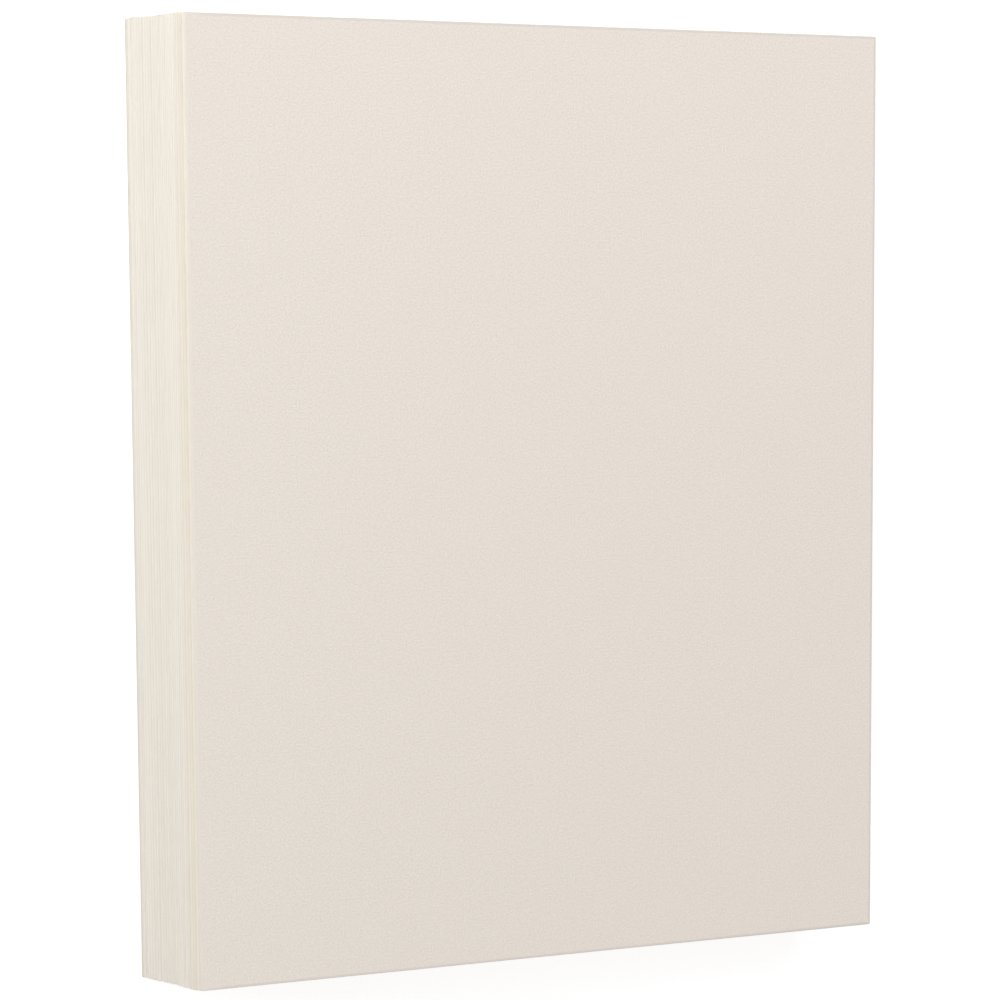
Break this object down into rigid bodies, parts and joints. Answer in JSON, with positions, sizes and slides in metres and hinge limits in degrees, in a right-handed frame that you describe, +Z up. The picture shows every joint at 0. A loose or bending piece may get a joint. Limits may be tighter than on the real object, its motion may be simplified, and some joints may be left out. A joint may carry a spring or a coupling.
{
  "type": "pack of cardstock",
  "caption": "Unwrapped pack of plain cream letter-size cardstock sheets, stacked face to face and pushed over slightly across the width, lying flat.",
  "frame": {"origin": "middle of the pack's footprint, on the underside of the bottom sheet", "axes": "+Z up through the stack, +Y along the length of the sheets, +X across their width towards the side that the upper sheets have slid to"},
  "size_m": [0.2294, 0.2798, 0.0203],
  "materials": {
    "cardstock": "uncoated"
  },
  "bodies": {
    "root": {"sheet_01": "cardstock", "sheet_02": "cardstock", "sheet_03": "cardstock", "sheet_04": "cardstock", "sheet_05": "cardstock", "sheet_06": "cardstock", "sheet_07": "cardstock", "sheet_08": "cardstock", "sheet_09": "cardstock", "sheet_10": "cardstock", "sheet_11": "cardstock", "sheet_12": "cardstock", "sheet_13": "cardstock", "sheet_14": "cardstock", "sheet_15": "cardstock", "sheet_16": "cardstock", "sheet_17": "cardstock", "sheet_18": "cardstock", "sheet_19": "cardstock", "sheet_20": "cardstock", "sheet_21": "cardstock", "sheet_22": "cardstock", "sheet_23": "cardstock", "sheet_24": "cardstock", "sheet_25": "cardstock", "sheet_26": "cardstock", "sheet_27": "cardstock", "sheet_28": "cardstock", "sheet_29": "cardstock", "sheet_30": "cardstock", "sheet_31": "cardstock", "sheet_32": "cardstock", "sheet_33": "cardstock", "sheet_34": "cardstock", "sheet_35": "cardstock", "sheet_36": "cardstock", "sheet_37": "cardstock", "sheet_38": "cardstock", "sheet_39": "cardstock", "sheet_40": "cardstock", "sheet_41": "cardstock", "sheet_42": "cardstock", "sheet_43": "cardstock", "sheet_44": "cardstock", "sheet_45": "cardstock", "sheet_46": "cardstock", "sheet_47": "cardstock", "sheet_48": "cardstock", "sheet_49": "cardstock", "sheet_50": "cardstock"}
  },
  "joints": []
}
